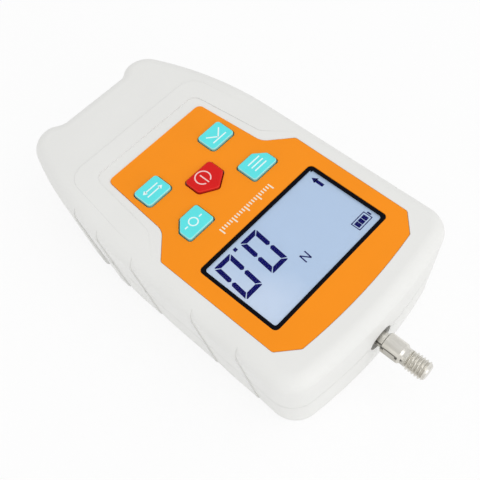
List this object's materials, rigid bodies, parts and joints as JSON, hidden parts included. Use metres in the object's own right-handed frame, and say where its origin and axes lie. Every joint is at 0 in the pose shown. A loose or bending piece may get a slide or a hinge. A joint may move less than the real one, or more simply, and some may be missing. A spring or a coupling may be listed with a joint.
{
  "type": "digital force gauge",
  "caption": "Handheld digital force gauge lying on its back: rounded white case, orange keypad face, backlit display and a steel measuring rod out of one end.",
  "frame": {"origin": "middle of the overall length and width, on the plane the flat back rests on", "axes": "+Y along the measuring rod out of the case, +Z out of the display face, +X to the reader's right when the rod points away from the reader"},
  "size_m": [0.069, 0.1327, 0.0331],
  "materials": {
    "shell_white": "fine satin moulded plastic",
    "overlay_orange": "printed polycarbonate film, satin",
    "bezel_black": "black moulded plastic",
    "lens_clear": "clear acrylic",
    "lcd_glass": "liquid crystal cell with polariser",
    "lcd_light": "white light guide",
    "holder_white": "white moulded plastic",
    "board_green": "glass-epoxy board with solder mask",
    "part_black": "black moulded packages",
    "socket_cream": "nylon connector housings",
    "key_cyan": "silicone-like satin plastic",
    "key_red": "silicone-like satin plastic",
    "steel": "turned stainless steel",
    "plate_aluminium": "milled aluminium",
    "cell_aluminium": "machined aluminium alloy",
    "screw_steel": "zinc-plated steel",
    "bush_brass": "turned brass",
    "cell_silver": "nickel-plated can",
    "sleeve_blue": "heat-shrink film",
    "lead_insulation": "PVC wire insulation",
    "port_metal": "tin-plated steel"
  },
  "bodies": {
    "case": {"front_shell": "shell_white", "rear_shell": "shell_white", "face_overlay": "overlay_orange", "display_bezel": "bezel_black", "display_lens": "lens_clear", "lcd_panel": "lcd_glass", "lcd_backlight": "lcd_light", "lcd_holder": "holder_white", "main_board": "board_green", "board_sockets": "socket_cream", "board_chips": "part_black", "buzzer": "part_black", "switch_bodies": "part_black", "port_board": "board_green", "dc_jack": "part_black", "data_port": "port_metal", "chassis_plate": "plate_aluminium", "load_cell": "cell_aluminium", "cell_bolt": "screw_steel", "mounting_bushes": "bush_brass", "battery_cells": "cell_silver", "battery_sleeve": "sleeve_blue", "battery_bar": "plate_aluminium", "battery_lead": "lead_insulation", "sensor_lead": "lead_insulation", "port_lead": "lead_insulation", "case_screws": "screw_steel", "board_screws": "screw_steel", "chassis_screws": "screw_steel"},
    "unit_button": {"key_unit": "key_cyan", "plunger_unit": "holder_white"},
    "peak_button": {"key_peak": "key_cyan", "plunger_peak": "holder_white"},
    "zero_button": {"key_zero": "key_cyan", "plunger_zero": "holder_white"},
    "set_button": {"key_set": "key_cyan", "plunger_set": "holder_white"},
    "power_button": {"key_power": "key_red", "plunger_power": "holder_white"},
    "rod": {"measuring_rod": "steel", "rod_nut": "screw_steel"}
  },
  "joints": [
    {"name": "unit_press", "type": "slide", "parent": "case", "child": "unit_button", "axis": [0, 0, -1], "range_m": [0, 0.0005], "stiffness_N_per_m": 200, "springref_m": -0.001},
    {"name": "peak_press", "type": "slide", "parent": "case", "child": "peak_button", "axis": [0, 0, -1], "range_m": [0, 0.0005], "stiffness_N_per_m": 200, "springref_m": -0.001},
    {"name": "zero_press", "type": "slide", "parent": "case", "child": "zero_button", "axis": [0, 0, -1], "range_m": [0, 0.0005], "stiffness_N_per_m": 200, "springref_m": -0.001},
    {"name": "set_press", "type": "slide", "parent": "case", "child": "set_button", "axis": [0, 0, -1], "range_m": [0, 0.0005], "stiffness_N_per_m": 200, "springref_m": -0.001},
    {"name": "power_press", "type": "slide", "parent": "case", "child": "power_button", "axis": [0, 0, -1], "range_m": [0, 0.0005], "stiffness_N_per_m": 200, "springref_m": -0.001},
    {"name": "rod_load", "type": "slide", "parent": "case", "child": "rod", "axis": [0, 1, 0], "range_m": [-0.00025, 0.00025], "stiffness_N_per_m": 2000}
  ]
}
